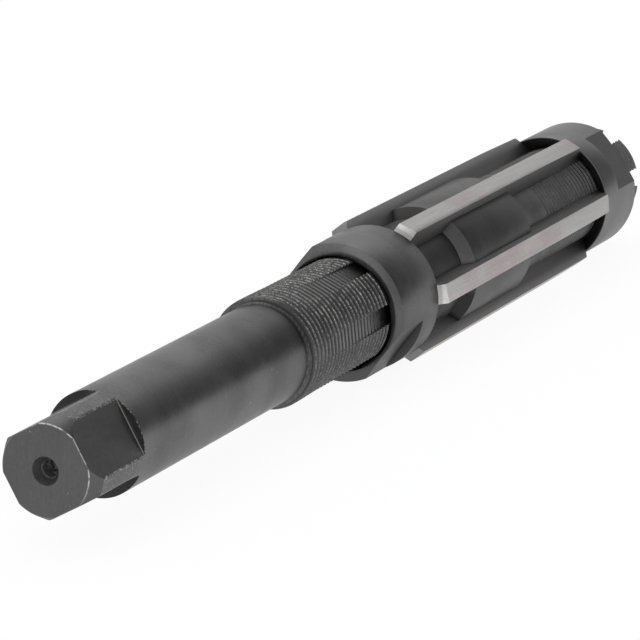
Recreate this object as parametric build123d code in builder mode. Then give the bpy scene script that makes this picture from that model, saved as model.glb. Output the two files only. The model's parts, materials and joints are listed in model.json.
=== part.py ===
from build123d import *
from math import asin, atan2, degrees, radians, sqrt, tan
import os

# An adjustable hand reamer: six tapered blades slide in sloped slots of one arbor and are held
# between two nuts with conical recesses. Moving both nuts towards the square end carries the
# blades up the slopes, so the reamer cuts a larger hole.
# Millimetres. Stations run along the tool from the end face of the square.

# Arbor
ARBOR_LENGTH = 201.6
SHANK_DIAMETER = 16.0
SHANK_LENGTH = 67.3
SQUARE_ACROSS_FLATS = 13.0
SQUARE_LENGTH = 14.5
SQUARE_TURN = -25.0
TANG_CHAMFER_LENGTH = 2.3
TANG_CHAMFER_HEIGHT = 1.1
THREAD_DIAMETER = 18.0
THREAD_END_CHAMFER = 0.3
LAND_DIAMETER = 21.5
LAND_START = 125.4
LAND_LENGTH = 23.3
LAND_CHAMFER_ANGLE = 45.0
CENTRE_HOLE_MOUTH = 4.25
CENTRE_HOLE_PILOT = 2.6
CENTRE_HOLE_DEPTH = 4.5
CENTRE_HOLE_ANGLE = 60.0

# Blades and their slots
BLADE_COUNT = 6
BLADE_DIAMETER = 25.0
BLADE_THICKNESS = 3.2
BLADE_EXPOSED_LENGTH = 72.0
BLADE_SIDE_FIT = 0.02
BLADE_FLOOR_FIT = 0.02
MARGIN_WIDTH = 0.4
RELIEF_ANGLE = 10.0
LEAD_LENGTH = 14.0
LEAD_DROP = 0.2
SLOT_START = 76.0
SLOT_ANGLE = 2.6

# Nuts
NUT_DIAMETER = 22.7
NUT_LENGTH = 14.0
NUT_LIP = 0.3
NUT_BORE_FIT = 0.05
NUT_BORE_CHAMFER = 0.4
NUT_EDGE_LENGTH = 0.6
NUT_EDGE_HEIGHT = 1.1
NUT_ACROSS_FLATS = 20.0
NUT_FLAT_LENGTH = 8.2
REAR_NUT_FACE = 108.6
REAR_NUT_TURN = 42.0
FRONT_NUT_TURN = -33.0
SEAT_ANGLE = 45.0
SEAT_FIT = 0.02

# Sizes that follow from those above
SHANK_RADIUS = SHANK_DIAMETER / 2
THREAD_RADIUS = THREAD_DIAMETER / 2
LAND_RADIUS = LAND_DIAMETER / 2
NUT_RADIUS = NUT_DIAMETER / 2
BLADE_RADIUS = BLADE_DIAMETER / 2
HALF_BLADE = BLADE_THICKNESS / 2
PITCH_ANGLE = 360 / BLADE_COUNT
FIRST_BLADE_TURN = -90 + PITCH_ANGLE / 2
FRONT_NUT_FACE = REAR_NUT_FACE + BLADE_EXPOSED_LENGTH
LAND_END = LAND_START + LAND_LENGTH
LAND_CHAMFER_LENGTH = (LAND_RADIUS - THREAD_RADIUS) / tan(radians(LAND_CHAMFER_ANGLE))
SEAT_MOUTH = NUT_RADIUS - NUT_LIP
SEAT_SLOPE = tan(radians(SEAT_ANGLE))
OUTSIDE = BLADE_DIAMETER

# The section of a blade's ground top: a narrow round margin behind the cutting edge, then a flat relief
EDGE_HEIGHT = sqrt(BLADE_RADIUS**2 - HALF_BLADE**2)
MARGIN_END = HALF_BLADE - MARGIN_WIDTH
MARGIN_END_HEIGHT = sqrt(BLADE_RADIUS**2 - MARGIN_END**2)
RELIEF_SLOPE = tan(radians(RELIEF_ANGLE) - asin(MARGIN_END / BLADE_RADIUS))
HEEL_HEIGHT = MARGIN_END_HEIGHT - (MARGIN_END + HALF_BLADE) * RELIEF_SLOPE

# The reamer lies on two blades, one each side of straight down: on one's cutting edge and on the other's heel
left_contact = Vector(EDGE_HEIGHT, HALF_BLADE).rotate(Axis.Z, -90 - PITCH_ANGLE / 2)
right_contact = Vector(HEEL_HEIGHT, -HALF_BLADE).rotate(Axis.Z, -90 + PITCH_ANGLE / 2)
REST_ROLL = -degrees(atan2(right_contact.Y - left_contact.Y, right_contact.X - left_contact.X))
REST_HEIGHT = max(-left_contact.rotate(Axis.Z, REST_ROLL).Y, NUT_RADIUS)

TANG_END = Vector(-ARBOR_LENGTH / 2, 0, REST_HEIGHT)
TOOL_AXIS = Axis(TANG_END, (1, 0, 0))


def along(turn):
    """The plane through the tool's axis whose y points outwards at this turn about the axis."""
    outwards = Vector(0, 1, 0).rotate(Axis.X, turn + REST_ROLL)
    return Plane(origin=TANG_END, x_dir=(1, 0, 0), z_dir=Vector(1, 0, 0).cross(outwards))


def across(station, turn):
    """The plane square to the tool's axis at a station whose x points outwards at this turn."""
    outwards = Vector(0, 1, 0).rotate(Axis.X, turn + REST_ROLL)
    return Plane(origin=TANG_END + Vector(station, 0, 0), x_dir=outwards, z_dir=(1, 0, 0))


def slot_floor(station):
    """Height of the sloped slot's floor over the axis: it meets the thread's crest where the slot starts."""
    return THREAD_RADIUS - (station - SLOT_START) * tan(radians(SLOT_ANGLE))


def write(piece, name):
    piece.part.label = name
    export_step(piece.part, f"parts/{name}.step")


os.makedirs("parts", exist_ok=True)

# Arbor: turned in one piece, then the square, the slots and the centre holes are cut
with BuildPart() as arbor:
    with BuildSketch(along(0)):
        with BuildLine():
            Polyline(
                (0, 0),
                (0, SHANK_RADIUS - TANG_CHAMFER_HEIGHT),
                (TANG_CHAMFER_LENGTH, SHANK_RADIUS),
                (SHANK_LENGTH, SHANK_RADIUS),
                (SHANK_LENGTH + THREAD_RADIUS - SHANK_RADIUS, THREAD_RADIUS),
                (LAND_START - LAND_CHAMFER_LENGTH, THREAD_RADIUS),
                (LAND_START, LAND_RADIUS),
                (LAND_END, LAND_RADIUS),
                (LAND_END + LAND_CHAMFER_LENGTH, THREAD_RADIUS),
                (ARBOR_LENGTH - THREAD_END_CHAMFER, THREAD_RADIUS),
                (ARBOR_LENGTH, THREAD_RADIUS - THREAD_END_CHAMFER),
                (ARBOR_LENGTH, 0),
                close=True,
            )
        make_face()
    revolve(axis=TOOL_AXIS)

    with BuildSketch(across(0, SQUARE_TURN)):
        Circle(SHANK_DIAMETER)
        Rectangle(SQUARE_ACROSS_FLATS, SQUARE_ACROSS_FLATS, mode=Mode.SUBTRACT)
    extrude(amount=SQUARE_LENGTH, mode=Mode.SUBTRACT)

    for number in range(BLADE_COUNT):
        with BuildSketch(along(FIRST_BLADE_TURN + number * PITCH_ANGLE)):
            with BuildLine():
                Polyline(
                    (SLOT_START, THREAD_RADIUS),
                    (ARBOR_LENGTH, slot_floor(ARBOR_LENGTH)),
                    (ARBOR_LENGTH, OUTSIDE),
                    (SLOT_START, OUTSIDE),
                    close=True,
                )
            make_face()
        extrude(amount=HALF_BLADE + BLADE_SIDE_FIT, both=True, mode=Mode.SUBTRACT)

    for end_face in (arbor.faces().sort_by(Axis.X)[0], arbor.faces().sort_by(Axis.X)[-1]):
        with Locations(Plane(end_face)):
            CounterSinkHole(
                CENTRE_HOLE_PILOT / 2,
                CENTRE_HOLE_MOUTH / 2,
                depth=CENTRE_HOLE_DEPTH,
                counter_sink_angle=CENTRE_HOLE_ANGLE,
            )
write(arbor, "arbor")

# Blades: a tapered slab that fills its slot, ground on the arbor to a round top with seats at both ends
REAR_SEAT = SEAT_MOUTH - SEAT_FIT
TOP_INSET = (BLADE_RADIUS - REAR_SEAT) / SEAT_SLOPE
END_INSET = (REAR_SEAT - THREAD_RADIUS) / SEAT_SLOPE
LEAD_INSET = (BLADE_RADIUS - LEAD_DROP - REAR_SEAT) / SEAT_SLOPE
BLADE_REAR = REAR_NUT_FACE - END_INSET
BLADE_FRONT = FRONT_NUT_FACE + END_INSET
for number in range(BLADE_COUNT):
    turn = FIRST_BLADE_TURN + number * PITCH_ANGLE
    with BuildPart() as blade:
        with BuildSketch(along(turn)):
            with BuildLine():
                Polyline(
                    (BLADE_REAR, slot_floor(BLADE_REAR) + BLADE_FLOOR_FIT),
                    (BLADE_FRONT, slot_floor(BLADE_FRONT) + BLADE_FLOOR_FIT),
                    (BLADE_FRONT, OUTSIDE),
                    (BLADE_REAR, OUTSIDE),
                    close=True,
                )
            make_face()
        extrude(amount=HALF_BLADE, both=True)

        with BuildSketch(along(turn)):
            with BuildLine():
                Polyline(
                    (BLADE_REAR, 0),
                    (BLADE_REAR, THREAD_RADIUS),
                    (REAR_NUT_FACE + TOP_INSET, BLADE_RADIUS),
                    (FRONT_NUT_FACE - LEAD_INSET - LEAD_LENGTH, BLADE_RADIUS),
                    (FRONT_NUT_FACE - LEAD_INSET, BLADE_RADIUS - LEAD_DROP),
                    (BLADE_FRONT, THREAD_RADIUS),
                    (BLADE_FRONT, 0),
                    close=True,
                )
            make_face()
        revolve(axis=TOOL_AXIS, mode=Mode.INTERSECT)

        with BuildSketch(across(BLADE_REAR, turn)):
            with BuildLine():
                Polyline(
                    (MARGIN_END_HEIGHT, MARGIN_END),
                    (HEEL_HEIGHT, -HALF_BLADE),
                    (OUTSIDE, -HALF_BLADE),
                    (OUTSIDE, MARGIN_END),
                    close=True,
                )
            make_face()
        extrude(amount=BLADE_FRONT - BLADE_REAR, mode=Mode.SUBTRACT)
    write(blade, f"blade_{number + 1}")

# Nuts: the same part at both ends, with its conical recess towards the blades and its flats away from them
for name, face, away, turn in (
    ("rear_nut", REAR_NUT_FACE, -1, REAR_NUT_TURN),
    ("front_nut", FRONT_NUT_FACE, 1, FRONT_NUT_TURN),
):
    bore_radius = THREAD_RADIUS + NUT_BORE_FIT
    end = face + away * NUT_LENGTH
    with BuildPart() as nut:
        with BuildSketch(along(turn)):
            with BuildLine():
                Polyline(
                    (face, SEAT_MOUTH),
                    (face, NUT_RADIUS),
                    (end - away * NUT_EDGE_LENGTH, NUT_RADIUS),
                    (end, NUT_RADIUS - NUT_EDGE_HEIGHT),
                    (end, bore_radius + NUT_BORE_CHAMFER),
                    (end - away * NUT_BORE_CHAMFER, bore_radius),
                    (face + away * (SEAT_MOUTH - bore_radius) / SEAT_SLOPE, bore_radius),
                    close=True,
                )
            make_face()
        revolve(axis=TOOL_AXIS)

        for side in (turn, turn + 180):
            with BuildSketch(along(side)):
                with BuildLine():
                    Polyline(
                        (end, NUT_ACROSS_FLATS / 2),
                        (end - away * NUT_FLAT_LENGTH, NUT_ACROSS_FLATS / 2),
                        (end - away * NUT_FLAT_LENGTH, OUTSIDE),
                        (end, OUTSIDE),
                        close=True,
                    )
                make_face()
            extrude(amount=NUT_RADIUS, both=True, mode=Mode.SUBTRACT)
    write(nut, name)
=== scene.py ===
"""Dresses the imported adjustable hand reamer: screw threads, black oxide, ground blades, floor and light."""

import json
from math import atan2, cos, pi, radians, sin, sqrt, tan
from types import SimpleNamespace

import bmesh
import bpy
from bpy.props import FloatProperty, FloatVectorProperty, IntProperty, PointerProperty
from bpy.types import Operator, Panel, PropertyGroup
from mathutils import Matrix, Vector

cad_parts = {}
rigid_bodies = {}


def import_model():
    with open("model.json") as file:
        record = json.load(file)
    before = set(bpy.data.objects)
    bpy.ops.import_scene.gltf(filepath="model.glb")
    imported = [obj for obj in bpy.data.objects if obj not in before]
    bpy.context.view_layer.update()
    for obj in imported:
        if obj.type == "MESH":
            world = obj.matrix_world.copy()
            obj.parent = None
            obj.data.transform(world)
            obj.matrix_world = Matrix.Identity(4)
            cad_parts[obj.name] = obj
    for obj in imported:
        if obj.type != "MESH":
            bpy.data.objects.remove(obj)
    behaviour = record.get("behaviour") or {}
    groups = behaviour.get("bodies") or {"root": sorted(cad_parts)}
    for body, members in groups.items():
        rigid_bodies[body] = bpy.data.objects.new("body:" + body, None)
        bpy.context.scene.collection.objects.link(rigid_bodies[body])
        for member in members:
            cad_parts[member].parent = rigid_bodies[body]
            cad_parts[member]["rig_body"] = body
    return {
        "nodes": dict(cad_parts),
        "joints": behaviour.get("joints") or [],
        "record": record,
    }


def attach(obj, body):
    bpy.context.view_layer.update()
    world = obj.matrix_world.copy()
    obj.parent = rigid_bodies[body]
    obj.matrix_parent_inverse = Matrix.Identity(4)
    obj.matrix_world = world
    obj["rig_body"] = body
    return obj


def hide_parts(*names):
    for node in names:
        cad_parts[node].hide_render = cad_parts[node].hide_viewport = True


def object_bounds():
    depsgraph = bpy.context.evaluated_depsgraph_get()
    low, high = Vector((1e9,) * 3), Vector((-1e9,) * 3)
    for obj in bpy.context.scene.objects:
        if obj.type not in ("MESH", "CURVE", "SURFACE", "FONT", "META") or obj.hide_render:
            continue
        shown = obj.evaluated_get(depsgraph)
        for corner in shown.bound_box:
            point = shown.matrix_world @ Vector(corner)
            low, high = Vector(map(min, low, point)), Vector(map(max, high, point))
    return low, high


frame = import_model()

bl_info = {
    "name": "Adjustable Hand Reamer",
    "version": (1, 0, 0),
    "blender": (4, 5, 0),
    "location": "3D View > Sidebar > Reamer",
    "description": "Dresses an adjustable hand reamer in threads, black oxide and ground tool steel",
    "category": "Object",
}

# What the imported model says: its box, where the tool's axis lies and how the blades are turned about it
CAD_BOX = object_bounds()
SHANK = next(mount for mount in frame["record"]["mounts"] if mount["name"] == "shank")
AXIS_HEIGHT = SHANK["pos_m"][2]
SLIDES = {joint["child"]: joint["axis"] for joint in frame["joints"]}
BLADES = sorted(name for name in frame["nodes"] if name.startswith("blade"))
BLADE_TURNS = [atan2(SLIDES[name][2], SLIDES[name][1]) for name in BLADES]

# The modelling frame is turned so that its first blade stands this far short of its zero
FIRST_BLADE = radians(60)
ROLL = BLADE_TURNS[0] + FIRST_BLADE

# The blades whose end bevels carry a painted highlight and whose sides carry painted shade
PAINTED_LIGHT_BLADES = ("blade_4", "blade_5")

# Modelling is in millimetres, with the tool's axis along X from the end face of its square
PLACE = (
    Matrix.Translation((CAD_BOX[0].x, 0, AXIS_HEIGHT))
    @ Matrix.Rotation(ROLL, 4, "X")
    @ Matrix.Scale(0.001, 4)
)

# How far cutters reach past the steel, in millimetres
CLEAR = 1

# How much of a face's normal lies along the axis, at least, when the face is square to it
SQUARE_ON = 0.999

# Points closer than this, in millimetres, are one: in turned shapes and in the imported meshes
SAME_POINT = 1e-4
SAME_PACKED_POINT = 1e-3

# The thread's groove: half its angle, half its flat root as a share of the pitch, and its cutter's overlap
THREAD_FLANK = radians(30)
ROOT_SHARE = 0.07
OVER_CRESTS = 0.05

# Half the angle of a centre hole's cone
CENTRE_FLANK = radians(30)


# Kinds of properties


def distance(name, description, millimetres):
    return FloatProperty(name=name, description=description, default=millimetres / 1000, min=0, unit="LENGTH")


def turn(name, description, degrees):
    return FloatProperty(name=name, description=description, default=radians(degrees), unit="ROTATION")


def colour(name, description, *rgb):
    return FloatVectorProperty(
        name=name, description=description, default=rgb, size=3, min=0, max=1, subtype="COLOR"
    )


def grey(name, description, value):
    return colour(name, description, value, value, value)


def count(name, description, number, least):
    return IntProperty(name=name, description=description, default=number, min=least)


def aim(name, description, x, y, z, **kind):
    return FloatVectorProperty(name=name, description=description, default=(x, y, z), **kind)


def share(name, description, value, most=1.0):
    return FloatProperty(name=name, description=description, default=value, min=0, max=most, subtype="FACTOR")


class ReamerSizes(PropertyGroup):
    """Sizes of the turned and milled pieces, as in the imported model."""

    arbor_length: distance("Arbor length", "Whole length of the arbor", (CAD_BOX[1].x - CAD_BOX[0].x) * 1000)
    face_radius: distance("End face radius", "Radius of the square's end face", 6.9)
    tang_chamfer: distance("Tang chamfer", "Length of the cone at the square's end", 2.3)
    shank_radius: distance("Shank radius", "Radius of the plain shank", SHANK["dims"]["r_mm"])
    shank_length: distance("Shank length", "From the end face to the thread", 67.3)
    square_width: distance("Square width", "Width of the drive square over its flats", 13.0)
    square_length: distance("Square length", "Length of the drive square", 14.5)
    square_turn: turn("Square turn", "How far the square is turned about the tool's axis", -25)
    thread_radius: distance("Thread radius", "Radius of the arbor's thread over its crests", 9.0)
    thread_pitch: distance("Thread pitch", "Distance from crest to crest", 1.25)
    thread_depth: distance("Thread depth", "Depth of the thread's groove", 0.68)
    thread_chamfer: distance("Thread chamfer", "Chamfer at the arbor's front end", 0.3)
    rear_thread_end: distance("Rear thread end", "Where the rear thread runs out, under its nut", 107.5)
    front_thread_start: distance("Front thread start", "Where the front thread begins", 160.0)
    land_radius: distance("Land radius", "Radius of the thick middle of the arbor", 10.75)
    land_start: distance("Land start", "From the end face to the middle land", 125.4)
    land_length: distance("Land length", "Length of the middle land", 23.3)
    slot_start: distance("Slot start", "Where the line of the slots' floors meets the thread's crests", 76.0)
    slot_run_out: distance("Slot run-out", "Where the cutter first touches the thread's crests", 70.0)
    slot_floor: distance("Slot floor", "Where the slots' floors are down on their line", 84.0)
    slot_width: distance("Slot width", "Width of a blade's slot", 3.24)
    slot_angle: turn("Slot angle", "Slope of the slots' floors", 2.6)
    centre_mouth: distance("Centre hole mouth", "Diameter of a centre hole at the face", 4.25)
    centre_pilot: distance("Centre hole pilot", "Diameter of a centre hole's pilot", 2.6)
    centre_depth: distance("Centre hole depth", "Depth of a centre hole", 4.5)
    nut_radius: distance("Nut radius", "Outside radius of a nut", 11.35)
    nut_length: distance("Nut length", "Length of a nut", 14.0)
    nut_lip: distance("Nut lip", "Wall at the mouth of a nut's conical recess", 0.3)
    nut_bore: distance("Nut bore", "Radius of a nut's bore", 9.05)
    nut_bore_chamfer: distance("Nut bore chamfer", "Chamfer at the bore's outer end", 0.4)
    nut_edge_length: distance("Nut edge length", "Length of the cone at a nut's outer end", 0.6)
    nut_edge_height: distance("Nut edge height", "Height of the cone at a nut's outer end", 1.1)
    nut_width: distance("Nut width", "Width of a nut over its wrench flats", 20.0)
    nut_flat: distance("Nut flat", "Length of a nut's wrench flats", 8.2)
    rear_nut_face: distance("Rear nut face", "From the end face to the rear nut's inner face", 108.6)
    front_nut_face: distance("Front nut face", "From the end face to the front nut's inner face", 180.6)
    rear_nut_turn: turn("Rear nut turn", "How far the rear nut is screwed round", 42)
    front_nut_turn: turn("Front nut turn", "How far the front nut is screwed round", -33)
    edge_break: distance("Edge break", "Rounding of the turned edges", 0.12)
    rim_break: distance("Rim break", "Bevel of the flats' rim on the end face", 0.12)
    blade_edge: distance("Blade edge", "Rounding of the blades' edges", 0.05)
    flat_fillet: distance("Flat fillet", "Fillet at the inner end of the square's flats", 0.15)
    round_steps: count("Round steps", "Faces round a turned piece", 128, 24)
    helix_steps: count("Helix steps", "Faces round a turn of thread", 48, 12)


class ReamerFinishes(PropertyGroup):
    """Colours and gloss of the steel."""

    oxide: grey("Black oxide", "Blackened ground steel", 0.168)
    oxide_dark: grey("Dark oxide", "Blackened steel where it is deepest", 0.110)
    milled: grey("Milled oxide", "Blackened steel with milling marks", 0.116)
    flat: grey("Flat oxide", "Blackened steel of the square's flats", 0.200)
    rubbed: colour("Rubbed steel", "Steel where the black has rubbed off", 0.50, 0.49, 0.48)
    blade: colour("Blade steel", "Bare ground tool steel", 0.43, 0.417, 0.41)
    blade_warm: colour("Warm blade steel", "Bare ground tool steel with a warm cast", 0.40, 0.352, 0.35)
    # Painted highlight colour for rims, the square's corner line and crest glints; light knocks on milled
    # faces take it too
    glint: colour("Glint", "Freshly rubbed steel on rims and crests", 0.94, 0.93, 0.90)
    side: grey("Blade side", "Bare ground side of a blade", 0.46)
    # Painted highlight on the outer part of two blades' end bevels
    bevel: colour("Blade bevel", "Rubbed tip of a blade's end bevel", 0.66, 0.64, 0.63)
    # Painted shade: the dark colour of two blades' sides and of the other blades' end bevels
    side_dark: colour("Dark blade side", "Oxide left on a blade's side or end bevel", 0.205, 0.203, 0.202)
    body: grey("Body oxide", "Black oxide of the arbor between the nuts", 0.128)
    body_dark: grey("Dark body oxide", "The darkest black between the nuts", 0.092)
    front_nut: grey("Front nut oxide", "Black oxide of the front nut", 0.215)
    # Painted shade on the rear nut's lower side; also the darkest black of the tang's cone and of the rear
    # thread
    body_sooty: grey("Sooty body", "Black oxide close to the rear nut", 0.088)
    # Painted shade: a near black for the walls at the square's inner end
    wall: grey("Wall black", "Unground black on the walls at the square's inner end", 0.042)
    # A lighter black than the rest of the body, for the part behind the front nut
    front_body: grey("Front body oxide", "Thin black oxide of the body behind the front nut", 0.310)
    # Painted shade and grime in the thread's grooves; also the darkest tone of the collar
    groove: grey("Groove black", "Soot in the thread's grooves", 0.045)
    # Painted shade in the centre holes; also the painted shade on the chamfer at the land's rear end
    hole: grey("Hole black", "Sooty black in the centre holes", 0.031)
    oxide_roughness: share("Oxide roughness", "Roughness of the ground black steel", 0.34)
    milled_roughness: share("Milled roughness", "Roughness of the milled black steel", 0.42)
    blade_roughness: share("Blade roughness", "Roughness of the ground blades", 0.38)
    grazing: share("Grazing sheen", "Sheen of black oxide at a grazing angle", 0.68)
    thread_grazing: share("Thread's grazing sheen", "Sheen of the threads at a grazing angle", 0.34)
    wear: share("Edge wear", "How much of the edges is rubbed bright", 0.7)


class ReamerStage(PropertyGroup):
    """Camera, floor and light."""

    lens: FloatProperty(name="Lens", description="Focal length in millimetres", default=239.6, min=20)
    camera_place: aim(
        "Camera place", "Where the camera stands", -0.595513, -0.291071, 0.165634, unit="LENGTH"
    )
    camera_ahead: aim(
        "Camera ahead", "The way the camera looks", 0.870806, 0.434725, -0.229589, subtype="DIRECTION"
    )
    camera_up: aim(
        "Camera up", "The top of the camera's view", 0.233272, 0.045980, 0.971324, subtype="DIRECTION"
    )
    floor_reach: distance("Floor reach", "From under the tool to the floor's edges", 6000)
    floor_colour: grey("Floor", "Pale floor", 0.93)
    floor_glow: share("Floor glow", "How far the floor is lifted to the white of the backdrop", 0.93)
    floor_reflected: share("Floor in reflections", "How far the metal sees the floor lifted to white", 0.9)
    floor_mirror: share("Floor mirror", "Strength of that white in reflections", 1.12, 2.0)
    sky: share("Sky", "Strength of the soft light from all round", 0.9, 2.0)
    sky_colour: colour("Sky colour", "Colour of that light", 0.97, 0.98, 1.0)
    dark_side: share("Dark side", "Brightness of the unlit side of the room in reflections", 0.22)
    camera_end: share("Camera end", "How far that darkness reaches the camera's end of the room", 0.45)
    key: FloatProperty(
        name="Key light", description="Power of the overhead light", default=3.0, min=0, unit="POWER"
    )
    key_size: distance("Key light size", "Width of the overhead light", 900)
    key_place: aim("Key light place", "Where the overhead light hangs", 0.25, 0.35, 0.9, unit="LENGTH")


def read(owner):
    """The numbers of a group of properties, with lengths in millimetres."""
    numbers = {}
    for item in owner.bl_rna.properties:
        if item.type in {"FLOAT", "INT"} and not getattr(item, "is_array", False):
            value = getattr(owner, item.identifier)
            numbers[item.identifier] = value * 1000 if item.unit == "LENGTH" else value
    return SimpleNamespace(**numbers)


# Modelling helpers


def turned(outline, steps, ring=False):
    """A solid of revolution about X from points (station, radius), which a ring's outline closes."""
    bm = bmesh.new()
    points = [bm.verts.new((station, radius, 0)) for station, radius in outline]
    pairs = zip(points, points[1:] + points[:1]) if ring else zip(points, points[1:])
    edges = [bm.edges.new(pair) for pair in pairs]
    bmesh.ops.spin(
        bm, geom=points + edges, cent=(0, 0, 0), axis=(1, 0, 0), angle=2 * pi, steps=steps, use_merge=True
    )
    bmesh.ops.remove_doubles(bm, verts=bm.verts, dist=SAME_POINT)
    bmesh.ops.recalc_face_normals(bm, faces=bm.faces)
    return bm


def outward_edges(bm, least):
    """The outward edges that turn by more than the least angle."""
    return [e for e in bm.edges if len(e.link_faces) == 2 and e.is_convex and e.calc_face_angle() > least]


def round_edges(bm, edges, radius, segments=2):
    """Rounds the edges and returns the faces that it makes."""
    return bmesh.ops.bevel(
        bm, geom=edges, offset=radius, offset_type="OFFSET", segments=segments, profile=0.5,
        affect="EDGES", clamp_overlap=True, material=-1,
    )["faces"]


def prism(outline, way, place=Matrix.Identity(4)):
    """A straight bar: the outline's points in XYZ, pushed along a vector, then placed."""
    bm = bmesh.new()
    face = bm.faces.new([bm.verts.new(point) for point in outline])
    pushed = bmesh.ops.extrude_face_region(bm, geom=[face])["geom"]
    bmesh.ops.translate(bm, verts=[v for v in pushed if isinstance(v, bmesh.types.BMVert)], vec=way)
    bmesh.ops.transform(bm, matrix=place, verts=bm.verts)
    bmesh.ops.recalc_face_normals(bm, faces=bm.faces)
    return bm


def helix(start, end, size):
    """The groove of a right-hand thread between two stations, as a solid to cut with."""
    root = size.thread_radius - size.thread_depth
    top = size.thread_radius + OVER_CRESTS
    half_root = ROOT_SHARE * size.thread_pitch
    half_top = half_root + (top - root) * tan(THREAD_FLANK)
    bm = bmesh.new()
    points = [
        bm.verts.new((start + along, radius, 0))
        for along, radius in ((-half_root, root), (half_root, root), (half_top, top), (-half_top, top))
    ]
    edges = [bm.edges.new(pair) for pair in zip(points, points[1:] + points[:1])]
    rounds = (end - start) / size.thread_pitch
    steps = round(rounds * size.helix_steps)
    bmesh.ops.spin(
        bm, geom=points + edges, cent=(0, 0, 0), axis=(1, 0, 0), dvec=((end - start) / steps, 0, 0),
        angle=2 * pi * rounds, steps=steps,
    )
    bmesh.ops.holes_fill(bm, edges=[e for e in bm.edges if e.is_boundary], sides=4)
    bmesh.ops.recalc_face_normals(bm, faces=bm.faces)
    return bm


def solid(name, bm, *materials):
    """A new object from a bmesh."""
    mesh = bpy.data.meshes.new(name)
    bm.to_mesh(mesh)
    bm.free()
    for material in materials:
        mesh.materials.append(material)
    piece = bpy.data.objects.new(name, mesh)
    bpy.context.scene.collection.objects.link(piece)
    return piece


def cut(piece, bm, *materials):
    """Cuts a shape out of a piece. The faces it leaves take the cutter's materials."""
    cutter = solid("cutter", bm, *materials)
    boolean = piece.modifiers.new("cut", "BOOLEAN")
    boolean.operation = "DIFFERENCE"
    boolean.solver = "EXACT"
    boolean.material_mode = "TRANSFER"
    boolean.object = cutter
    whole, tool = piece.data, cutter.data
    piece.data = bpy.data.meshes.new_from_object(piece.evaluated_get(bpy.context.evaluated_depsgraph_get()))
    piece.modifiers.clear()
    bpy.data.objects.remove(cutter)
    bpy.data.meshes.remove(whole)
    bpy.data.meshes.remove(tool)


def stand_for(piece, replaced, place, smooth=24):
    """Puts a finished piece where its CAD node is, and lets it ride and be shown in its place."""
    piece.data.transform(place)
    piece.data.name = piece.name
    piece.data.shade_smooth()
    piece.data.set_sharp_from_angle(angle=radians(smooth))
    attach(piece, frame["nodes"][replaced]["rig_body"])
    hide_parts(replaced)


# Shader helpers


def node(tree, kind, inputs=(), **settings):
    """A shader node with its settings and its inputs: a number or colour is set, a socket is linked."""
    made = tree.nodes.new("ShaderNode" + kind)
    for name, value in settings.items():
        setattr(made, name, value)
    for key, value in dict(inputs).items():
        socket = made.inputs[key]
        if isinstance(value, bpy.types.NodeSocket):
            tree.links.new(value, socket)
        else:
            socket.default_value = (*value, 1.0) if socket.type == "RGBA" else value
    return made


def empty_tree(owner):
    """The node tree of a material or world, with nothing in it."""
    owner.use_nodes = True
    owner.node_tree.nodes.clear()
    return owner.node_tree


def maths(tree, operation, *values):
    """A sum, a product or the like of numbers and sockets."""
    return node(tree, "Math", enumerate(values), operation=operation).outputs[0]


def product(tree, first, *others):
    """Masks multiplied with each other."""
    for other in others:
        first = maths(tree, "MULTIPLY", first, other)
    return first


def weighted(tree, *parts):
    """The sum of values that are given with their weights."""
    total = 0.0
    for value, weight in parts:
        total = maths(tree, "MULTIPLY_ADD", value, weight, total)
    return total


def blend(tree, factor, first, second):
    """A colour between two colours."""
    mixed = node(tree, "Mix", {0: factor, 6: first, 7: second}, data_type="RGBA")
    return mixed.outputs[2]


def between(tree, value, low, high, to_low=0.0, to_high=1.0):
    """The value's place between two limits, eased and clamped."""
    inputs = {"Value": value, "From Min": low, "From Max": high, "To Min": to_low, "To Max": to_high}
    return node(tree, "MapRange", inputs, interpolation_type="SMOOTHSTEP").outputs[0]


def noise(tree, place, fineness, detail, roughness=0.5):
    """A cloudy value about a half, whose features are 1 / fineness millimetres in size."""
    inputs = {"Vector": place, "Scale": fineness, "Detail": detail, "Roughness": roughness}
    return node(tree, "TexNoise", inputs).outputs["Fac"]


def stretched(tree, place, fineness, turned_by=(0, 0, 0)):
    """The place for a noise that is finer in some directions than in others."""
    return node(tree, "Mapping", {"Vector": place, "Scale": fineness, "Rotation": turned_by}).outputs[0]


def group(name, inputs, outputs):
    """An empty node group with named numbers, with its inputs' sockets and a call that links its outputs."""
    tree = bpy.data.node_groups.new(name, "ShaderNodeTree")
    for label, value in inputs.items():
        socket = tree.interface.new_socket(name=label, in_out="INPUT", socket_type="NodeSocketFloat")
        socket.default_value = value
    for label in outputs:
        tree.interface.new_socket(name=label, in_out="OUTPUT", socket_type="NodeSocketFloat")
    entry = tree.nodes.new("NodeGroupInput")
    end = tree.nodes.new("NodeGroupOutput")

    def close(**results):
        for label, socket in results.items():
            tree.links.new(socket, end.inputs[label.replace("_", " ").capitalize()])

    return tree, entry.outputs, close


def place_group(tree, name, **inputs):
    """A node of a shared group, with its inputs set."""
    made = tree.nodes.new("ShaderNodeGroup")
    made.node_tree = bpy.data.node_groups[name]
    for key, value in inputs.items():
        made.inputs[key.replace("_", " ").capitalize()].default_value = value
    return made.outputs


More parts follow.
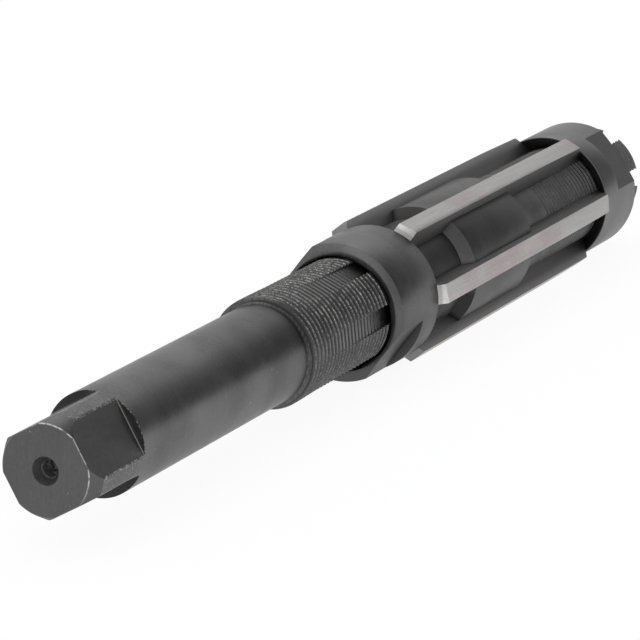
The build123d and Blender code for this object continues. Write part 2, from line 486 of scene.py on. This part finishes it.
def round_the_axis(tree):
    """The place, station, radius and angle of a point, in millimetres from the end face's centre."""
    seen = node(tree, "TexCoord").outputs["Object"]
    origin = (-CAD_BOX[0].x * 1000, 0, -AXIS_HEIGHT * 1000)
    inputs = {"Vector": seen, "Location": origin, "Scale": (1000, 1000, 1000)}
    place = node(tree, "Mapping", inputs).outputs[0]
    parts = node(tree, "SeparateXYZ", {0: place}).outputs
    across = node(tree, "CombineXYZ", {1: parts[1], 2: parts[2]}).outputs[0]
    radius = node(tree, "VectorMath", {0: across}, operation="LENGTH").outputs["Value"]
    angle = maths(tree, "ARCTAN2", parts[2], parts[1])
    return SimpleNamespace(place=place, station=parts[0], radius=radius, angle=angle)


def on_one_side(tree, degrees, low, high):
    """A mask that is full on the side of the tool at an angle round its axis, and fades round it."""
    facing = maths(tree, "COSINE", maths(tree, "SUBTRACT", round_the_axis(tree).angle, radians(degrees)))
    return between(tree, facing, low, high)


# How far each kind of mark changes the steel's colour
GROUND_KNOCKS = 0.55
MILLED_KNOCKS = 0.25
HANDLED_PATCHES = 0.34
CORNER_LINE = 0.12
ONE_SIDE_GLINT = 0.5
SCUFFED_CRESTS = 0.7
PILOT_RIM_HIGHLIGHT = 0.28
GRINDING_MARKS = 0.14

# Angles round the axis, in degrees, of the sides that carry wear with painted highlights, and of the sides
# left clear of painted shade
SQUARE_GLINT_SIDE = 150
RIM_GLINT_SIDE = 140
THREAD_GLINT_SIDE = 125
SHOULDER_LIT_SIDE = 149
NUT_LIT_SIDE = 92


def make_groups():
    """The effects that several finishes share."""
    # Patches where the black is rubbed off to bare steel, for edges and crests
    tree, entry, close = group("Rubbed patches", {"Share": 0.5, "Size": 0.8}, ["Mask"])
    fineness = maths(tree, "DIVIDE", 1.0, entry["Size"])
    rubbed = noise(tree, round_the_axis(tree).place, fineness, 4.0, 0.65)
    limit = maths(tree, "MULTIPLY_ADD", entry["Share"], -0.5, 0.80)
    close(mask=between(tree, rubbed, limit, maths(tree, "ADD", limit, 0.14)))

    # Fine rings left by turning or grinding on the tool's axis
    tree, entry, close = group("Turning rings", {"Spacing": 0.12}, ["Height", "Tone"])
    point = round_the_axis(tree)
    drift = maths(tree, "MULTIPLY", point.angle, 0.03)
    rings = node(tree, "CombineXYZ", {0: point.station, 1: point.radius, 2: drift}).outputs[0]
    fine = maths(tree, "DIVIDE", 1.0, entry["Spacing"])
    coarse = maths(tree, "MULTIPLY", fine, 0.2)
    close(height=noise(tree, rings, fine, 2.0), tone=noise(tree, rings, coarse, 3.0))

    # Slow clouds in the black, and the sparse light specks of small knocks
    tree, entry, close = group("Handling", {"Cloud size": 12.0, "Speck share": 0.02}, ["Clouds", "Specks"])
    place = round_the_axis(tree).place
    slow = noise(tree, place, maths(tree, "DIVIDE", 1.0, entry["Cloud size"]), 5.0, 0.6)
    dots = noise(tree, stretched(tree, place, (1.6, 0.9, 0.5), (0.4, 0.2, 0.1)), 2.2, 1.0)
    limit = maths(tree, "SUBTRACT", 0.79, entry["Speck share"])
    close(clouds=slow, specks=between(tree, dots, limit, maths(tree, "ADD", limit, 0.03)))


def clouds(tree, size, knocks=0.0):
    """The clouds of the shared handling, and its specks."""
    handling = place_group(tree, "Handling", cloud_size=size, speck_share=knocks)
    return handling["Clouds"], handling["Specks"]


def patches(tree, rubbed, size):
    """The mask of the shared rubbed patches."""
    return place_group(tree, "Rubbed patches", share=rubbed, size=size)["Mask"]


def metal(name, tone, roughness, normal=None, grazing=1.0, metallic=1.0):
    """A material whose colour, roughness and normal come from makers that get its node tree."""
    tree = empty_tree(bpy.data.materials.new(name))
    shader = node(tree, "BsdfPrincipled", {"Metallic": metallic, "Specular Tint": (grazing,) * 3})
    for key, maker in (("Base Color", tone), ("Roughness", roughness), ("Normal", normal)):
        if maker:
            tree.links.new(maker(tree), shader.inputs[key])
    node(tree, "OutputMaterial", {"Surface": shader.outputs[0]})


def cloudy(roughness, size, less, more):
    """A maker of a roughness that goes up and down in clouds of a size."""

    def make(tree):
        return between(tree, clouds(tree, size)[0], 0.3, 0.7, roughness - less, roughness + more)

    return make


def bumped(height, strength, millimetres):
    """A maker of a normal from a maker of a height."""

    def make(tree):
        inputs = {"Height": height(tree), "Strength": strength, "Distance": millimetres / 1000}
        return node(tree, "Bump", inputs).outputs[0]

    return make


def black_steel(
    name, finishes, deep, light, roughness, spacing, knocks=0.0, rubbed_to=0.0, sheen=None, clear=None
):
    """Black oxide over ground steel, with clouds, rings and knocks.

    It may be rubbed up to a station, and carry painted shade on all but a clear side.
    """

    def tone(tree):
        point = round_the_axis(tree)
        cloud, specks = clouds(tree, 12.0, knocks)
        rings = place_group(tree, "Turning rings", spacing=spacing)["Tone"]
        grain = noise(tree, point.place, 2.5, 3.0, 0.7)
        mixed = weighted(tree, (cloud, 0.65), (rings, 0.10), (grain, 0.25))
        black = blend(tree, between(tree, mixed, 0.38, 0.62), deep, light)
        # Painted shade over the black, full away from the clear side and fading in round it
        if clear:
            degrees, low, high, painted_shade = clear
            black = blend(tree, on_one_side(tree, degrees, low, high), painted_shade, black)
        bare = product(tree, specks, GROUND_KNOCKS)
        if rubbed_to:
            handling_and_glint_mask = between(tree, point.station, rubbed_to + 0.5, rubbed_to - 1.5)
            rubbed = product(tree, patches(tree, 0.5, 0.4), handling_and_glint_mask, HANDLED_PATCHES)
            bare = maths(tree, "MAXIMUM", bare, rubbed)
        return blend(tree, bare, black, finishes.rubbed)

    def height(tree):
        return place_group(tree, "Turning rings", spacing=spacing)["Height"]

    rough = cloudy(roughness, 3.0, 0.04, 0.05)
    metal(name, tone, rough, bumped(height, 0.1, 0.01), sheen or finishes.grazing)


def milled_steel(name, finishes, deep, light, roughness, rims=None, knocks=0.0):
    """Black oxide over milled steel: grain, faint strokes, and bright rims, partly painted highlight, where a
    mask's maker says.
    """

    def grain(tree, size):
        return noise(tree, round_the_axis(tree).place, 1 / size, 4.0, 0.7)

    def tone(tree):
        strokes = noise(tree, stretched(tree, round_the_axis(tree).place, (0.3, 5.0, 0.2)), 1.0, 2.0)
        cloud, specks = clouds(tree, 12.0, knocks)
        mixed = weighted(tree, (cloud, 0.3), (grain(tree, 0.5), 0.4), (strokes, 0.3))
        black = blend(tree, between(tree, mixed, 0.36, 0.64), deep, light)
        bare = product(tree, specks, MILLED_KNOCKS)
        if rims:
            bare = maths(tree, "MAXIMUM", bare, rims(tree))
        return blend(tree, bare, black, finishes.glint)

    def rough(tree):
        return between(tree, grain(tree, 0.7), 0.3, 0.7, roughness - 0.06, roughness + 0.08)

    metal(name, tone, rough, bumped(lambda tree: grain(tree, 0.3), 0.35, 0.02), finishes.grazing)


def square_rims(size, wear):
    """A maker of the mask of the rubbed rims on the square's round and inner corner, a painted highlight on
    one side only.
    """
    fillet = size.flat_fillet

    def make(tree):
        point = round_the_axis(tree)
        edge = between(tree, point.radius, size.shank_radius - 0.20, size.shank_radius - 0.05)
        rims = product(tree, edge, patches(tree, wear, 0.4))
        to_corner = maths(tree, "SUBTRACT", point.station, size.square_length - fillet / 2)
        off_corner = maths(tree, "ABSOLUTE", to_corner)
        corner = between(tree, off_corner, 0.7 * fillet, 0.3 * fillet, to_high=CORNER_LINE)
        # Painted highlight: the rims glint only round one side of the tool
        handling_and_glint_mask = on_one_side(tree, SQUARE_GLINT_SIDE, 0.35, 0.70)
        return product(tree, maths(tree, "MAXIMUM", rims, corner), handling_and_glint_mask)

    return make


def worn_steel(name, finishes, steel, roughness, wear, side=None):
    """An edge rubbed through to bare steel in patches all round, or given a painted highlight in patches
    round one side.
    """

    def tone(tree):
        rubbed = patches(tree, wear, 0.8)
        if side is not None:
            # Painted highlight: the rubbed patches show only round one side
            rubbed = product(tree, rubbed, on_one_side(tree, side, 0.15, 0.9), ONE_SIDE_GLINT)
        return blend(tree, rubbed, finishes.oxide, steel)

    metal(name, tone, cloudy(roughness, 1.0, 0.08, 0.08))


def threaded_steel(name, finishes, groove, deep, light, roughness, crest, wear):
    """Black oxide on a thread with painted shade and grime in its groove, crests rubbed in patches, and
    painted glints in places.
    """

    def tone(tree):
        radius = round_the_axis(tree).radius
        cloud, _ = clouds(tree, 4.0)
        black = blend(tree, between(tree, cloud, 0.4, 0.6), deep, light)
        # Painted shade and grime: darker from the crest down into the groove
        black = blend(tree, between(tree, radius, crest - 0.6, crest - 0.1), groove, black)
        top = between(tree, radius, crest - 0.26, crest - 0.05)
        # Wear and painted glints are strongest round one side of the tool
        worn_and_lit_side = on_one_side(tree, THREAD_GLINT_SIDE, 0.55, 0.98)
        scuffed_side = maths(tree, "MULTIPLY_ADD", worn_and_lit_side, 0.70, 0.30)
        bright_side = maths(tree, "MULTIPLY_ADD", worn_and_lit_side, 0.80, 0.20)
        scuffed = product(tree, patches(tree, wear, 0.35), scuffed_side, SCUFFED_CRESTS)
        # Painted glints on the crests, in patches that cluster
        bright = product(tree, patches(tree, wear * 0.8, 0.3), between(tree, cloud, 0.46, 0.54), bright_side)
        steel = blend(tree, bright, finishes.rubbed, finishes.glint)
        return blend(tree, product(tree, top, maths(tree, "MAXIMUM", scuffed, bright)), black, steel)

    def height(tree):
        return noise(tree, round_the_axis(tree).place, 2.5, 3.0)

    rough = cloudy(roughness, 2.0, 0.06, 0.08)
    metal(name, tone, rough, bumped(height, 0.6, 0.06), finishes.thread_grazing)


def hole_shade_and_glints(name, size, painted_shade, painted_glints):
    """The dull black of a centre hole as painted shade, with painted light in its pilot and at the pilot's
    edge, and painted glints.
    """
    edge = (size.centre_mouth - size.centre_pilot) / 2 / tan(CENTRE_FLANK)

    def tone(tree):
        station = round_the_axis(tree).station
        depth = maths(tree, "MINIMUM", station, maths(tree, "SUBTRACT", size.arbor_length, station))
        cloud = between(tree, clouds(tree, 0.8)[0], 0.35, 0.65)
        # Painted shade: the cone is the darkest, in clouds
        cone = blend(tree, cloud, painted_shade, [1.5 * part for part in painted_shade])
        # Painted light: the pilot is lighter than the cone
        black = blend(tree, between(tree, depth, edge, edge + 0.1), cone, [3.5 * part for part in painted_shade])
        to_edge = maths(tree, "ABSOLUTE", maths(tree, "SUBTRACT", depth, edge))
        # A painted highlight ring at the pilot's edge
        at_edge = between(tree, to_edge, 0.20, 0.08, to_high=PILOT_RIM_HIGHLIGHT)
        rim = product(tree, at_edge, patches(tree, 0.95, 0.6))
        # Painted glints deep in the pilot
        specks = product(tree, patches(tree, 0.68, 0.5), between(tree, depth, 2.4, 3.4))
        return blend(tree, maths(tree, "MAXIMUM", specks, rim), black, painted_glints)

    metal(name, tone, lambda tree: clouds(tree, 0.5)[0], metallic=0.0)


def blade_steel(name, finishes, light, warm, roughness, change=None):
    """Tool steel with the fine lines of a grinding wheel, a grain and a warm cast in places.

    A change is another tone that is full at one radius and gone at a second.
    """

    def lines(tree, across):
        return noise(tree, stretched(tree, round_the_axis(tree).place, (0.08, across, across)), 1.0, 3.0)

    def tone(tree):
        point = round_the_axis(tree)
        steel = blend(tree, between(tree, clouds(tree, 22.0)[0], 0.42, 0.62), light, warm)
        if change:
            full, gone, other = change
            steel = blend(tree, between(tree, point.radius, full, gone), other, steel)
        grain = noise(tree, point.place, 2.2, 3.0, 0.6)
        marks = weighted(tree, (grain, 0.6), (lines(tree, 2.5), 0.4))
        marked = between(tree, marks, 0.40, 0.62, to_high=GRINDING_MARKS)
        return blend(tree, marked, steel, finishes.oxide_dark)

    def rough(tree):
        return between(tree, lines(tree, 3.0), 0.3, 0.7, roughness - 0.04, roughness + 0.06)

    metal(name, tone, rough, bumped(lambda tree: lines(tree, 7.0), 0.2, 0.008), 0.8)


class REAMER_OT_finishes(Operator):
    """Makes the steels' materials"""

    bl_idname = "reamer.finishes"
    bl_label = "Make Finishes"

    def execute(self, context):
        finishes = context.scene.reamer_finishes
        size = read(context.scene.reamer_sizes)
        make_groups()
        self.black_steels(finishes, size)
        self.milled_steels(finishes, size)
        self.worn_steels(finishes, size)
        self.blade_steels(finishes)
        return {"FINISHED"}

    def black_steels(self, finishes, size):
        """The turned and ground faces of the arbor and the nuts."""
        deep, light, body = finishes.oxide_dark, finishes.oxide, finishes.body
        sheen = finishes.thread_grazing
        # A side clear of the painted shade: its angle, the cosines round it at which the painted shade is
        # full and gone, and its colour
        # The chamfer at the land's rear end carries painted shade between the blades, clear only round one
        # side
        shoulder_painted_shade = (SHOULDER_LIT_SIDE, 0.6, 0.9, finishes.hole)
        # The rear nut carries painted shade on its lower side, away from its lit upper side
        nut_painted_shade = (NUT_LIT_SIDE, -0.5, 0.3, finishes.body_sooty)
        for name, darker, paler, duller, spacing, more in (
            ("ground_black", deep, light, 0.0, 0.16, {"knocks": 0.02, "rubbed_to": size.square_length}),
            ("cone_black", finishes.body_sooty, deep, 0.0, 0.9, {"sheen": 1.4 * sheen}),
            ("rear_body", body, light, 0.04, 0.16, {"sheen": sheen}),
            ("shoulder_black", body, light, 0.04, 0.16, {"clear": shoulder_painted_shade}),
            ("land_body", finishes.body_dark, body, 0.04, 0.16, {}),
            ("front_body", finishes.front_nut, finishes.front_body, 0.08, 0.16, {"sheen": 0.6 * sheen}),
            ("rear_nut_black", deep, light, 0.03, 0.22, {"clear": nut_painted_shade}),
            ("front_nut_black", light, finishes.front_nut, 0.05, 0.22, {"knocks": 0.01}),
        ):
            rough = finishes.oxide_roughness + duller
            black_steel(name, finishes, darker, paler, rough, spacing, **more)

    def milled_steels(self, finishes, size):
        """The milled faces, the end face and the collar."""
        deep, light, rough = finishes.oxide_dark, finishes.oxide, finishes.milled_roughness
        rims = square_rims(size, finishes.wear)
        for name, darker, paler, more in (
            ("end_face_black", finishes.body_dark, deep, {"knocks": 0.008}),
            ("rear_nut_flats", deep, finishes.milled, {}),
            ("front_nut_flats", finishes.flat, finishes.front_nut, {}),
            ("slot_black", light, finishes.front_nut, {}),
            ("square_black", light, finishes.flat, {"rims": rims, "knocks": 0.015}),
            # Painted shade on the walls at the square's inner end, with the rims' painted highlight
            ("wall_black", finishes.wall, finishes.wall, {"rims": rims}),
            ("collar_black", finishes.groove, finishes.body, {}),
        ):
            milled_steel(name, finishes, darker, paler, rough, **more)

    def worn_steels(self, finishes, size):
        """The centre holes, the rubbed edges and the threads."""
        rough, wear, front = finishes.milled_roughness, finishes.wear, finishes.flat
        crest = size.thread_radius
        # The centre holes: painted shade, with painted glints in rubbed-steel colour
        hole_shade_and_glints("hole_black", size, finishes.hole, finishes.rubbed)
        worn_steel("worn_edge", finishes, finishes.rubbed, rough, 0.8 * wear)
        # The end face's rim and the flats' rim bevel: a painted highlight in glint colour round one side
        worn_steel("worn_rim", finishes, finishes.glint, rough, 1.2 * wear, side=RIM_GLINT_SIDE)
        thread_deep, deep = finishes.body_sooty, finishes.oxide_dark
        threaded_steel("rear_thread", finishes, finishes.groove, thread_deep, deep, rough, crest, wear)
        threaded_steel("front_thread", finishes, front, front, finishes.front_nut, rough + 0.25, crest, 0.0)

    def blade_steels(self, finishes):
        """The blades' tops, sides and end bevels."""
        top = (finishes.blade, finishes.blade_warm, finishes.blade_roughness)
        side, oxide, dull = finishes.side, finishes.side_dark, finishes.milled_roughness
        blade_steel("blade_top", finishes, *top)
        # Light ground sides with painted shade, darker towards the foot of the blade
        blade_steel("blade_side", finishes, side, side, dull, (10.5, 12.4, finishes.front_nut))
        # Painted highlight: blade-top steel on two blades' end bevels, lighter still towards their outer part
        blade_steel("blade_end", finishes, *top, (11.9, 11.6, finishes.bevel))
        # Painted shade on two blades' sides and on the other blades' end bevels
        blade_steel("blade_oxide", finishes, oxide, oxide, dull)


class REAMER_OT_arbor(Operator):
    """Turns the arbor, mills its square and six sloped slots, and cuts its threads and centre holes"""

    bl_idname = "reamer.arbor"
    bl_label = "Make Arbor"

    def execute(self, context):
        size = read(context.scene.reamer_sizes)
        finish = bpy.data.materials
        foot = size.land_radius - size.thread_radius
        collar = size.thread_radius - size.shank_radius
        land_end = size.land_start + size.land_length
        end = size.arbor_length
        # The point just behind the square keeps its cuts off the shank's long faces, as on the nuts
        outline = [
            (0, 0),
            (0, size.face_radius),
            (size.tang_chamfer, size.shank_radius),
            (size.square_length + 2 * size.edge_break, size.shank_radius),
            (size.shank_length, size.shank_radius),
            (size.shank_length + collar, size.thread_radius),
            (size.land_start - foot, size.thread_radius),
            (size.land_start, size.land_radius),
            (land_end, size.land_radius),
            (land_end + foot, size.thread_radius),
            (end - size.thread_chamfer, size.thread_radius),
            (end, size.thread_radius - size.thread_chamfer),
            (end, 0),
        ]
        bm = turned(outline, size.round_steps)
        round_edges(bm, outward_edges(bm, least=radians(30)), size.edge_break)
        # The finish of the faces up to each station, and in the last row that of the two end faces
        zones = (
            (size.edge_break, "worn_rim"),
            (size.tang_chamfer, "cone_black"),
            (size.shank_length, "ground_black"),
            (size.shank_length + collar, "collar_black"),
            (size.rear_nut_face - size.nut_length, "ground_black"),
            (size.land_start - foot, "rear_body"),
            (size.land_start, "shoulder_black"),
            (land_end, "land_body"),
            (end, "front_body"),
            (end + 1, "end_face_black"),
        )
        steels = sorted({steel for _, steel in zones})
        for face in bm.faces:
            on_end = abs(face.normal.x) > SQUARE_ON
            station = end if on_end else face.calc_center_median().x
            face.material_index = steels.index(next(steel for limit, steel in zones if station < limit))
        arbor = solid("arbor_body", bm, *(finish[steel] for steel in steels))

        flats = (finish[steel] for steel in ("square_black", "worn_edge", "wall_black"))
        self.mill_square(arbor, size, finish["worn_rim"], *flats)
        front_end = Matrix.Translation((end, 0, 0)) @ Matrix.Rotation(pi, 4, "Z")
        for place in (Matrix.Identity(4), front_end):
            bm = self.centre_hole(size)
            bmesh.ops.transform(bm, matrix=place, verts=bm.verts)
            cut(arbor, bm, finish["hole_black"])
        self.mill_slots(arbor, size, finish["slot_black"])
        pitch = size.thread_pitch
        cut(arbor, helix(size.shank_length - pitch, size.rear_thread_end, size), finish["rear_thread"])
        cut(arbor, helix(size.front_thread_start, end + pitch, size), finish["front_thread"])
        stand_for(arbor, "arbor", PLACE)
        return {"FINISHED"}

    def mill_square(self, arbor, size, rim_steel, *materials):
        """Four flats with broken edges and a small fillet at their inner end."""
        half = size.square_width / 2
        corner = sqrt(size.shank_radius**2 - half**2) - size.edge_break
        slope = atan2(corner, half) / 2
        reach = 4 * size.edge_break
        side, out = corner + reach * cos(slope), half - reach * sin(slope)
        past = size.shank_radius + CLEAR
        outline = [(half, -corner), (half, corner), (out, side), (past, side), (past, -side), (out, -side)]
        low, high = half - size.rim_break - CLEAR, half + CLEAR
        rim = [(-CLEAR, low, -half), (size.rim_break + CLEAR, high, -half), (-CLEAR, high, -half)]
        for quarter in range(4):
            turned_to = Matrix.Rotation(size.square_turn + quarter * pi / 2, 4, "X")
            bm = prism([(-CLEAR, y, z) for y, z in outline], (size.square_length + CLEAR, 0, 0))
            # The edges where the flat and its two broken sides meet the wall at their inner end
            inner = [e for e in bm.edges if all(v.co.x > 0 and v.co.y < half + 0.01 for v in e.verts)]
            bmesh.ops.bevel(
                bm, geom=inner, offset=size.flat_fillet, segments=3, profile=0.5, affect="EDGES", material=-1
            )
            for face in bm.faces:
                broken = min(abs(face.normal.y), abs(face.normal.z)) > 0.1
                face.material_index = 1 if broken else 2 if face.normal.x > SQUARE_ON else 0
            bmesh.ops.transform(bm, matrix=turned_to, verts=bm.verts)
            cut(arbor, bm, *materials)
            cut(arbor, prism(rim, (0, 0, 2 * half), turned_to), rim_steel)

    def centre_hole(self, size):
        """A cone for a lathe centre, with its pilot, from the end face inwards."""
        slope = tan(CENTRE_FLANK)
        mouth, pilot = size.centre_mouth / 2, size.centre_pilot / 2
        outline = [(-CLEAR, 0), (-CLEAR, mouth + CLEAR * slope), ((mouth - pilot) / slope, pilot)]
        outline += [(size.centre_depth, pilot), (size.centre_depth + pilot / 2, 0)]
        return turned(outline, size.helix_steps)

    def mill_slots(self, arbor, size, material):
        """One slot under each blade, from the thread's run-out to the arbor's front end."""
        start, end, above = size.slot_run_out, size.arbor_length + CLEAR, size.land_radius + CLEAR
        slope = tan(size.slot_angle)
        floor = size.thread_radius - (size.slot_floor - size.slot_start) * slope
        low = size.thread_radius - (end - size.slot_start) * slope
        outline = [(start, size.thread_radius), (size.slot_floor, floor)]
        outline += [(end, low), (end, above), (start, above)]
        points = [(station, radius, -size.slot_width / 2) for station, radius in outline]
        for blade_turn in BLADE_TURNS:
            place = Matrix.Rotation(blade_turn - ROLL, 4, "X")
            cut(arbor, prism(points, (0, 0, size.slot_width), place), material)


class REAMER_OT_nuts(Operator):
    """Turns both nuts with their conical recesses and mills their wrench flats"""

    bl_idname = "reamer.nuts"
    bl_label = "Make Nuts"

    def execute(self, context):
        size = read(context.scene.reamer_sizes)
        seat = size.nut_radius - size.nut_lip
        length = size.nut_length
        outline = [
            (0, seat),
            (0, size.nut_radius),
            (length - size.nut_flat - 2 * size.edge_break, size.nut_radius),
            (length - size.nut_edge_length, size.nut_radius),
            (length, size.nut_radius - size.nut_edge_height),
            (length, size.nut_bore + size.nut_bore_chamfer),
            (length - size.nut_bore_chamfer, size.nut_bore),
            (seat - size.nut_bore, size.nut_bore),
        ]
        for name, face, nut_turn, facing in (
            ("rear_nut", size.rear_nut_face, size.rear_nut_turn, pi),
            ("front_nut", size.front_nut_face, size.front_nut_turn, 0),
        ):
            bm = turned(outline, size.round_steps, ring=True)
            round_edges(bm, outward_edges(bm, least=radians(20)), size.edge_break)
            nut = solid(name + "_body", bm, bpy.data.materials[name + "_black"])
            half, tall = size.nut_width / 2, size.nut_radius + CLEAR
            start, end = length - size.nut_flat, length + CLEAR
            flat = [(start, half, -tall), (end, half, -tall), (end, tall, -tall), (start, tall, -tall)]
            for half_turn in (0, pi):
                bar = prism(flat, (0, 0, 2 * tall), Matrix.Rotation(half_turn, 4, "X"))
                cut(nut, bar, bpy.data.materials[name + "_flats"])
            screwed = Matrix.Translation((face, 0, 0)) @ Matrix.Rotation(nut_turn, 4, "X")
            spot = screwed @ Matrix.Rotation(facing, 4, "Y")
            stand_for(nut, name, PLACE @ spot)
        return {"FINISHED"}


class REAMER_OT_blades(Operator):
    """Breaks the edges of the six blades"""

    bl_idname = "reamer.blades"
    bl_label = "Make Blades"

    def execute(self, context):
        size = read(context.scene.reamer_sizes)
        for name, blade_turn in zip(BLADES, BLADE_TURNS):
            sideways = Vector((0, -sin(blade_turn), cos(blade_turn)))
            bm = bmesh.new()
            bm.from_mesh(frame["nodes"][name].data)
            bmesh.ops.scale(bm, vec=(1000, 1000, 1000), verts=bm.verts)
            bmesh.ops.remove_doubles(bm, verts=bm.verts, dist=SAME_PACKED_POINT)
            bmesh.ops.dissolve_limit(bm, angle_limit=radians(0.3), verts=bm.verts, edges=bm.edges)
            round_edges(bm, outward_edges(bm, least=radians(25)), size.blade_edge, segments=1)
            # Two blades get painted shade on their sides and a painted highlight on their end bevels; the
            # others get painted shade on their end bevels
            side, bevel = ("blade_oxide", "blade_end") if name in PAINTED_LIGHT_BLADES else ("blade_side", "blade_oxide")
            steels = ("blade_top", side, bevel)
            # The two sides face across the blade, and both end bevels lean along the axis
            for face in bm.faces:
                if abs(face.normal.dot(sideways)) > 0.9:
                    face.material_index = steels.index(side)
                elif abs(face.normal.x) > 0.3:
                    face.material_index = steels.index(bevel)
            blade = solid(name + "_ground", bm, *(bpy.data.materials[steel] for steel in steels))
            stand_for(blade, name, Matrix.Scale(0.001, 4), smooth=20)
        return {"FINISHED"}


class REAMER_OT_stage(Operator):
    """Sets the pale floor, the soft light and the camera"""

    bl_idname = "reamer.stage"
    bl_label = "Make Stage"

    def execute(self, context):
        stage = context.scene.reamer_stage
        context.scene.view_settings.view_transform = "Standard"
        self.make_floor(stage)
        self.make_world(context, stage)
        self.make_light(context, stage)
        self.make_camera(context, stage)
        return {"FINISHED"}

    def make_floor(self, stage):
        bm = bmesh.new()
        bmesh.ops.create_grid(bm, x_segments=1, y_segments=1, size=stage.floor_reach)
        floor = solid("floor", bm, self.floor_material(stage))

    def floor_material(self, stage):
        """A pale floor that looks like the white backdrop, with the tool's soft shadow on it."""
        material = bpy.data.materials.new("pale_floor")
        tree = empty_tree(material)
        diffuse = node(tree, "BsdfDiffuse", {"Color": stage.floor_colour}).outputs[0]
        mirrored = node(tree, "LightPath").outputs["Is Glossy Ray"]
        strength = maths(tree, "MULTIPLY_ADD", mirrored, stage.floor_mirror - 1, 1.0)
        white = node(tree, "Emission", {"Color": (1, 1, 1), "Strength": strength}).outputs[0]
        lifted = self.seen(tree, stage.floor_glow, stage.floor_reflected)
        surface = node(tree, "MixShader", {0: lifted, 1: diffuse, 2: white}).outputs[0]
        node(tree, "OutputMaterial", {"Surface": surface})
        return material

    def seen(self, tree, direct=1.0, mirrored=1.0):
        """The two shares for rays from the camera or clear material, and for those that gloss sends out."""
        rays = node(tree, "LightPath").outputs
        straight = maths(tree, "MAXIMUM", rays["Is Camera Ray"], rays["Is Transmission Ray"])
        straight = maths(tree, "MULTIPLY", straight, direct)
        return maths(tree, "MAXIMUM", straight, maths(tree, "MULTIPLY", rays["Is Glossy Ray"], mirrored))

    def make_world(self, context, stage):
        """White all round, but for the unlit side of the room that gloss finds behind the camera."""
        world = bpy.data.worlds.new("studio")
        tree = empty_tree(world)
        way = node(tree, "TexCoord").outputs["Generated"]
        parts = node(tree, "SeparateXYZ", {0: way}).outputs
        # Dark where the direction points to the camera's side (-Y), less where it points to its end (-X)
        unlit = between(tree, parts[1], 0.02, -0.42)
        unlit = maths(tree, "MULTIPLY", unlit, between(tree, parts[0], -0.7, 0.1, stage.camera_end, 1.0))
        rays = node(tree, "LightPath").outputs
        unlit = maths(tree, "MULTIPLY", unlit, rays["Is Glossy Ray"])
        room = blend(tree, unlit, (1, 1, 1), (stage.dark_side,) * 3)
        light = node(tree, "Background", {"Color": stage.sky_colour, "Strength": stage.sky}).outputs[0]
        white = node(tree, "Background", {"Color": room, "Strength": 1.0}).outputs[0]
        surface = node(tree, "MixShader", {0: self.seen(tree), 1: light, 2: white}).outputs[0]
        node(tree, "OutputWorld", {"Surface": surface})
        context.scene.world = world

    def make_light(self, context, stage):
        """One broad, soft light overhead that looks at the tool."""
        light = bpy.data.lights.new("overhead", "AREA")
        light.shape = "SQUARE"
        light.size = stage.key_size
        light.energy = stage.key
        lamp = bpy.data.objects.new("overhead", light)
        spot = Vector(stage.key_place)
        lamp.matrix_world = self.aimed(spot, -spot, Vector((0, 1, 0)))
        context.scene.collection.objects.link(lamp)

    def make_camera(self, context, stage):
        """The photograph's view: the tool runs away from the camera to the upper right."""
        camera = bpy.data.cameras.new("camera")
        camera.sensor_width = 36
        camera.lens = stage.lens
        camera.clip_end = 20
        holder = bpy.data.objects.new("camera", camera)
        spot, ahead, up = Vector(stage.camera_place), Vector(stage.camera_ahead), Vector(stage.camera_up)
        holder.matrix_world = self.aimed(spot, ahead, up)
        context.scene.collection.objects.link(holder)
        context.scene.camera = holder

    def aimed(self, spot, ahead, up):
        """The placing of a lamp or camera that looks ahead."""
        back = -ahead.normalized()
        right = up.cross(back).normalized()
        turned_to = Matrix((right, back.cross(right), back)).transposed().to_4x4()
        return Matrix.Translation(spot) @ turned_to


class REAMER_PT_panel(Panel):
    """The reamer's sizes, finishes, stage and steps"""

    bl_idname = "REAMER_PT_panel"
    bl_label = "Adjustable Hand Reamer"
    bl_space_type = "VIEW_3D"
    bl_region_type = "UI"
    bl_category = "Reamer"

    def draw(self, context):
        layout = self.layout
        for step in STEPS:
            layout.operator(step.bl_idname)
        for owner in (context.scene.reamer_sizes, context.scene.reamer_finishes, context.scene.reamer_stage):
            box = layout.box()
            for item in owner.bl_rna.properties:
                if item.identifier not in {"rna_type", "name"}:
                    box.prop(owner, item.identifier)


STEPS = (REAMER_OT_finishes, REAMER_OT_arbor, REAMER_OT_nuts, REAMER_OT_blades, REAMER_OT_stage)
CLASSES = (ReamerSizes, ReamerFinishes, ReamerStage, *STEPS, REAMER_PT_panel)


def register():
    for item in CLASSES:
        bpy.utils.register_class(item)
    bpy.types.Scene.reamer_sizes = PointerProperty(type=ReamerSizes)
    bpy.types.Scene.reamer_finishes = PointerProperty(type=ReamerFinishes)
    bpy.types.Scene.reamer_stage = PointerProperty(type=ReamerStage)


def unregister():
    del bpy.types.Scene.reamer_stage
    del bpy.types.Scene.reamer_finishes
    del bpy.types.Scene.reamer_sizes
    for item in reversed(CLASSES):
        bpy.utils.unregister_class(item)


def main():
    register()
    bpy.ops.reamer.finishes()
    bpy.ops.reamer.arbor()
    bpy.ops.reamer.nuts()
    bpy.ops.reamer.blades()
    bpy.ops.reamer.stage()


if __name__ == "__main__":
    main()
